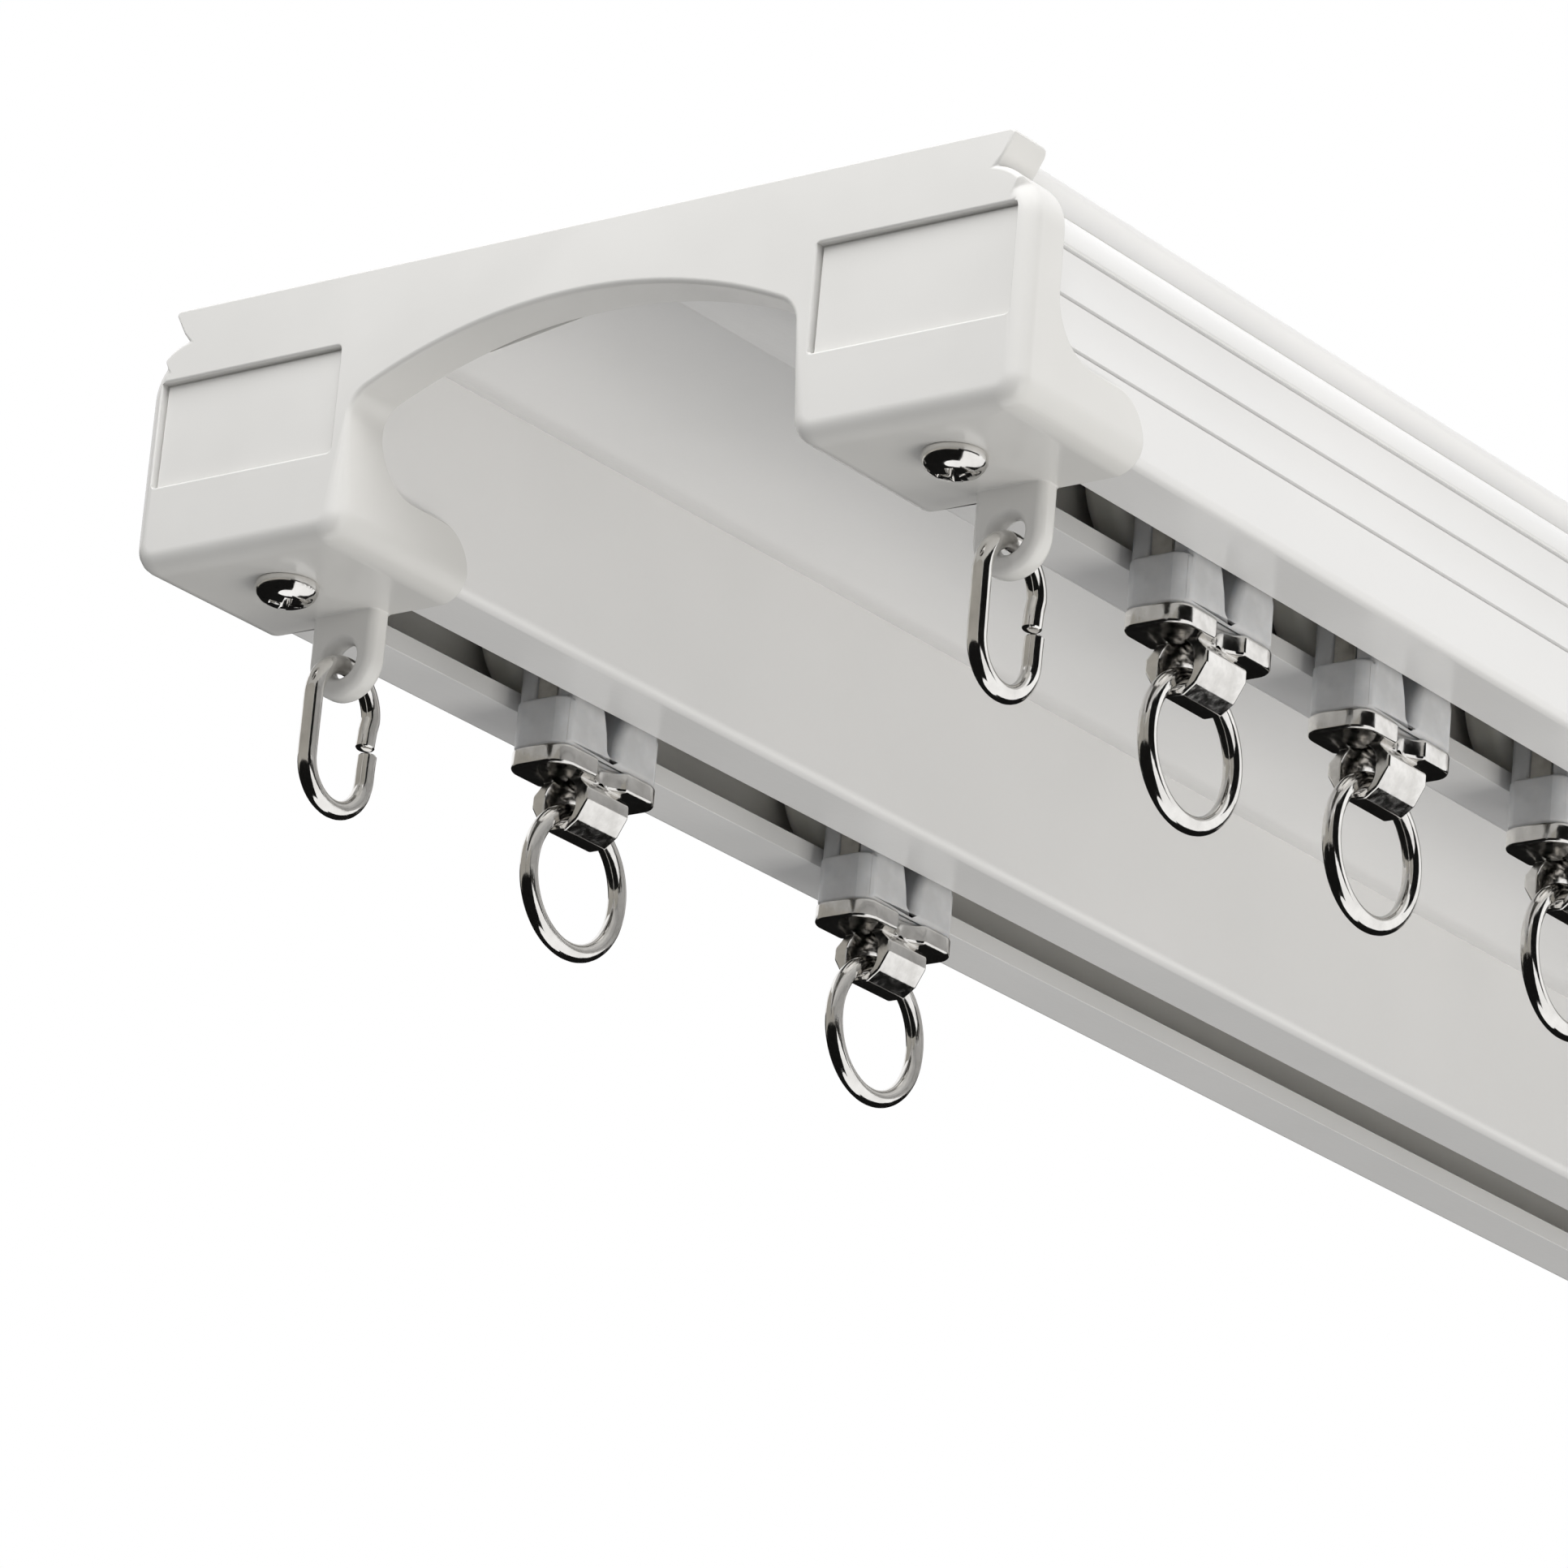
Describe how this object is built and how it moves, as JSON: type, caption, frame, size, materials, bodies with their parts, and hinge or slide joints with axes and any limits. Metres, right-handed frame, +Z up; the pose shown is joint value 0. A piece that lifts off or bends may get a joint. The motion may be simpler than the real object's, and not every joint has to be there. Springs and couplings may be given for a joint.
{
  "type": "double curtain track",
  "caption": "Ceiling rail with two slotted channels, end caps and rolling curtain carriers that each hang a ring.",
  "frame": {"origin": "centre of the rail's flat ceiling face", "axes": "+X along the track from the near cap to the far cap, +Y across it towards the channel with two carriers, +Z up into the ceiling"},
  "size_m": [0.4, 0.1, 0.0479],
  "materials": {
    "rail_white": "white powder coat, satin",
    "cap_white": "moulded, glossy",
    "plated_steel": "bright nickel plate",
    "zinc_steel": "zinc plated",
    "frosted_nylon": "frosted, slightly translucent",
    "wheel_nylon": "smooth, satin",
    "bearing_steel": "ground bearing steel"
  },
  "bodies": {
    "track": {"rail": "rail_white", "end_cap_near": "cap_white", "end_cap_far": "cap_white", "cap_screws_near": "plated_steel", "cap_screws_far": "plated_steel", "clamp_plates_near": "zinc_steel", "clamp_plates_far": "zinc_steel"},
    "split_link_near_front": {"split_link_near_front": "plated_steel"},
    "split_link_near_rear": {"split_link_near_rear": "plated_steel"},
    "split_link_far_front": {"split_link_far_front": "plated_steel"},
    "split_link_far_rear": {"split_link_far_rear": "plated_steel"},
    "front_carrier_1": {"front_carrier_1_body": "frosted_nylon", "front_carrier_1_hanger": "plated_steel", "front_carrier_1_axle": "bearing_steel"},
    "front_carrier_1_front_wheel": {"front_carrier_1_front_tyre": "wheel_nylon", "front_carrier_1_front_bearing": "bearing_steel"},
    "front_carrier_1_rear_wheel": {"front_carrier_1_rear_tyre": "wheel_nylon", "front_carrier_1_rear_bearing": "bearing_steel"},
    "front_carrier_1_ring": {"front_carrier_1_ring": "plated_steel"},
    "front_carrier_2": {"front_carrier_2_body": "frosted_nylon", "front_carrier_2_hanger": "plated_steel", "front_carrier_2_axle": "bearing_steel"},
    "front_carrier_2_front_wheel": {"front_carrier_2_front_tyre": "wheel_nylon", "front_carrier_2_front_bearing": "bearing_steel"},
    "front_carrier_2_rear_wheel": {"front_carrier_2_rear_tyre": "wheel_nylon", "front_carrier_2_rear_bearing": "bearing_steel"},
    "front_carrier_2_ring": {"front_carrier_2_ring": "plated_steel"},
    "front_carrier_3": {"front_carrier_3_body": "frosted_nylon", "front_carrier_3_hanger": "plated_steel", "front_carrier_3_axle": "bearing_steel"},
    "front_carrier_3_front_wheel": {"front_carrier_3_front_tyre": "wheel_nylon", "front_carrier_3_front_bearing": "bearing_steel"},
    "front_carrier_3_rear_wheel": {"front_carrier_3_rear_tyre": "wheel_nylon", "front_carrier_3_rear_bearing": "bearing_steel"},
    "front_carrier_3_ring": {"front_carrier_3_ring": "plated_steel"},
    "rear_carrier_1": {"rear_carrier_1_body": "frosted_nylon", "rear_carrier_1_hanger": "plated_steel", "rear_carrier_1_axle": "bearing_steel"},
    "rear_carrier_1_front_wheel": {"rear_carrier_1_front_tyre": "wheel_nylon", "rear_carrier_1_front_bearing": "bearing_steel"},
    "rear_carrier_1_rear_wheel": {"rear_carrier_1_rear_tyre": "wheel_nylon", "rear_carrier_1_rear_bearing": "bearing_steel"},
    "rear_carrier_1_ring": {"rear_carrier_1_ring": "plated_steel"},
    "rear_carrier_2": {"rear_carrier_2_body": "frosted_nylon", "rear_carrier_2_hanger": "plated_steel", "rear_carrier_2_axle": "bearing_steel"},
    "rear_carrier_2_front_wheel": {"rear_carrier_2_front_tyre": "wheel_nylon", "rear_carrier_2_front_bearing": "bearing_steel"},
    "rear_carrier_2_rear_wheel": {"rear_carrier_2_rear_tyre": "wheel_nylon", "rear_carrier_2_rear_bearing": "bearing_steel"},
    "rear_carrier_2_ring": {"rear_carrier_2_ring": "plated_steel"}
  },
  "joints": [
    {"name": "split_link_near_front_swing", "type": "hinge", "parent": "track", "child": "split_link_near_front", "pos_m": [-0.18255, -0.03765, -0.03055], "axis": [1, 0, 0], "range_deg": [-80, 80]},
    {"name": "split_link_near_rear_swing", "type": "hinge", "parent": "track", "child": "split_link_near_rear", "pos_m": [-0.18255, 0.03765, -0.03055], "axis": [1, 0, 0], "range_deg": [-80, 80]},
    {"name": "split_link_far_front_swing", "type": "hinge", "parent": "track", "child": "split_link_far_front", "pos_m": [0.18255, -0.03765, -0.03055], "axis": [1, 0, 0], "range_deg": [-80, 80]},
    {"name": "split_link_far_rear_swing", "type": "hinge", "parent": "track", "child": "split_link_far_rear", "pos_m": [0.18255, 0.03765, -0.03055], "axis": [1, 0, 0], "range_deg": [-80, 80]},
    {"name": "front_carrier_1_slide", "type": "slide", "parent": "track", "child": "front_carrier_1", "axis": [1, 0, 0], "range_m": [-0.0148, 0.011]},
    {"name": "front_carrier_1_front_wheel_roll", "type": "hinge", "parent": "front_carrier_1", "child": "front_carrier_1_front_wheel", "pos_m": [-0.154, -0.04425, -0.01435], "axis": [0, 1, 0], "continuous": true},
    {"name": "front_carrier_1_rear_wheel_roll", "type": "hinge", "parent": "front_carrier_1", "child": "front_carrier_1_rear_wheel", "pos_m": [-0.154, -0.03105, -0.01435], "axis": [0, 1, 0], "continuous": true},
    {"name": "front_carrier_1_ring_swing", "type": "hinge", "parent": "front_carrier_1", "child": "front_carrier_1_ring", "pos_m": [-0.154, -0.03765, -0.03343], "axis": [1, 0, 0], "range_deg": [-80, 80]},
    {"name": "front_carrier_2_slide", "type": "slide", "parent": "track", "child": "front_carrier_2", "axis": [1, 0, 0], "range_m": [-0.0022, 0.0154]},
    {"name": "front_carrier_2_front_wheel_roll", "type": "hinge", "parent": "front_carrier_2", "child": "front_carrier_2_front_wheel", "pos_m": [-0.1244, -0.04425, -0.01435], "axis": [0, 1, 0], "continuous": true},
    {"name": "front_carrier_2_rear_wheel_roll", "type": "hinge", "parent": "front_carrier_2", "child": "front_carrier_2_rear_wheel", "pos_m": [-0.1244, -0.03105, -0.01435], "axis": [0, 1, 0], "continuous": true},
    {"name": "front_carrier_2_ring_swing", "type": "hinge", "parent": "front_carrier_2", "child": "front_carrier_2_ring", "pos_m": [-0.1244, -0.03765, -0.03343], "axis": [1, 0, 0], "range_deg": [-80, 80]},
    {"name": "front_carrier_3_slide", "type": "slide", "parent": "track", "child": "front_carrier_3", "axis": [1, 0, 0], "range_m": [-0.002, 0.2594]},
    {"name": "front_carrier_3_front_wheel_roll", "type": "hinge", "parent": "front_carrier_3", "child": "front_carrier_3_front_wheel", "pos_m": [-0.0906, -0.04425, -0.01435], "axis": [0, 1, 0], "continuous": true},
    {"name": "front_carrier_3_rear_wheel_roll", "type": "hinge", "parent": "front_carrier_3", "child": "front_carrier_3_rear_wheel", "pos_m": [-0.0906, -0.03105, -0.01435], "axis": [0, 1, 0], "continuous": true},
    {"name": "front_carrier_3_ring_swing", "type": "hinge", "parent": "front_carrier_3", "child": "front_carrier_3_ring", "pos_m": [-0.0906, -0.03765, -0.03343], "axis": [1, 0, 0], "range_deg": [-80, 80]},
    {"name": "rear_carrier_1_slide", "type": "slide", "parent": "track", "child": "rear_carrier_1", "axis": [1, 0, 0], "range_m": [-0.0216, 0.0252]},
    {"name": "rear_carrier_1_front_wheel_roll", "type": "hinge", "parent": "rear_carrier_1", "child": "rear_carrier_1_front_wheel", "pos_m": [-0.1472, 0.03105, -0.01435], "axis": [0, 1, 0], "continuous": true},
    {"name": "rear_carrier_1_rear_wheel_roll", "type": "hinge", "parent": "rear_carrier_1", "child": "rear_carrier_1_rear_wheel", "pos_m": [-0.1472, 0.04425, -0.01435], "axis": [0, 1, 0], "continuous": true},
    {"name": "rear_carrier_1_ring_swing", "type": "hinge", "parent": "rear_carrier_1", "child": "rear_carrier_1_ring", "pos_m": [-0.1472, 0.03765, -0.03343], "axis": [1, 0, 0], "range_deg": [-80, 80]},
    {"name": "rear_carrier_2_slide", "type": "slide", "parent": "track", "child": "rear_carrier_2", "axis": [1, 0, 0], "range_m": [-0.0068, 0.2676]},
    {"name": "rear_carrier_2_front_wheel_roll", "type": "hinge", "parent": "rear_carrier_2", "child": "rear_carrier_2_front_wheel", "pos_m": [-0.0988, 0.03105, -0.01435], "axis": [0, 1, 0], "continuous": true},
    {"name": "rear_carrier_2_rear_wheel_roll", "type": "hinge", "parent": "rear_carrier_2", "child": "rear_carrier_2_rear_wheel", "pos_m": [-0.0988, 0.04425, -0.01435], "axis": [0, 1, 0], "continuous": true},
    {"name": "rear_carrier_2_ring_swing", "type": "hinge", "parent": "rear_carrier_2", "child": "rear_carrier_2_ring", "pos_m": [-0.0988, 0.03765, -0.03343], "axis": [1, 0, 0], "range_deg": [-80, 80]}
  ],
  "couplings": [
    {"joint": "front_carrier_1_front_wheel_roll", "follows": "front_carrier_1_slide", "rad_per_m": 125},
    {"joint": "front_carrier_1_rear_wheel_roll", "follows": "front_carrier_1_slide", "rad_per_m": 125},
    {"joint": "front_carrier_2_front_wheel_roll", "follows": "front_carrier_2_slide", "rad_per_m": 125},
    {"joint": "front_carrier_2_rear_wheel_roll", "follows": "front_carrier_2_slide", "rad_per_m": 125},
    {"joint": "front_carrier_3_front_wheel_roll", "follows": "front_carrier_3_slide", "rad_per_m": 125},
    {"joint": "front_carrier_3_rear_wheel_roll", "follows": "front_carrier_3_slide", "rad_per_m": 125},
    {"joint": "rear_carrier_1_front_wheel_roll", "follows": "rear_carrier_1_slide", "rad_per_m": 125},
    {"joint": "rear_carrier_1_rear_wheel_roll", "follows": "rear_carrier_1_slide", "rad_per_m": 125},
    {"joint": "rear_carrier_2_front_wheel_roll", "follows": "rear_carrier_2_slide", "rad_per_m": 125},
    {"joint": "rear_carrier_2_rear_wheel_roll", "follows": "rear_carrier_2_slide", "rad_per_m": 125}
  ]
}
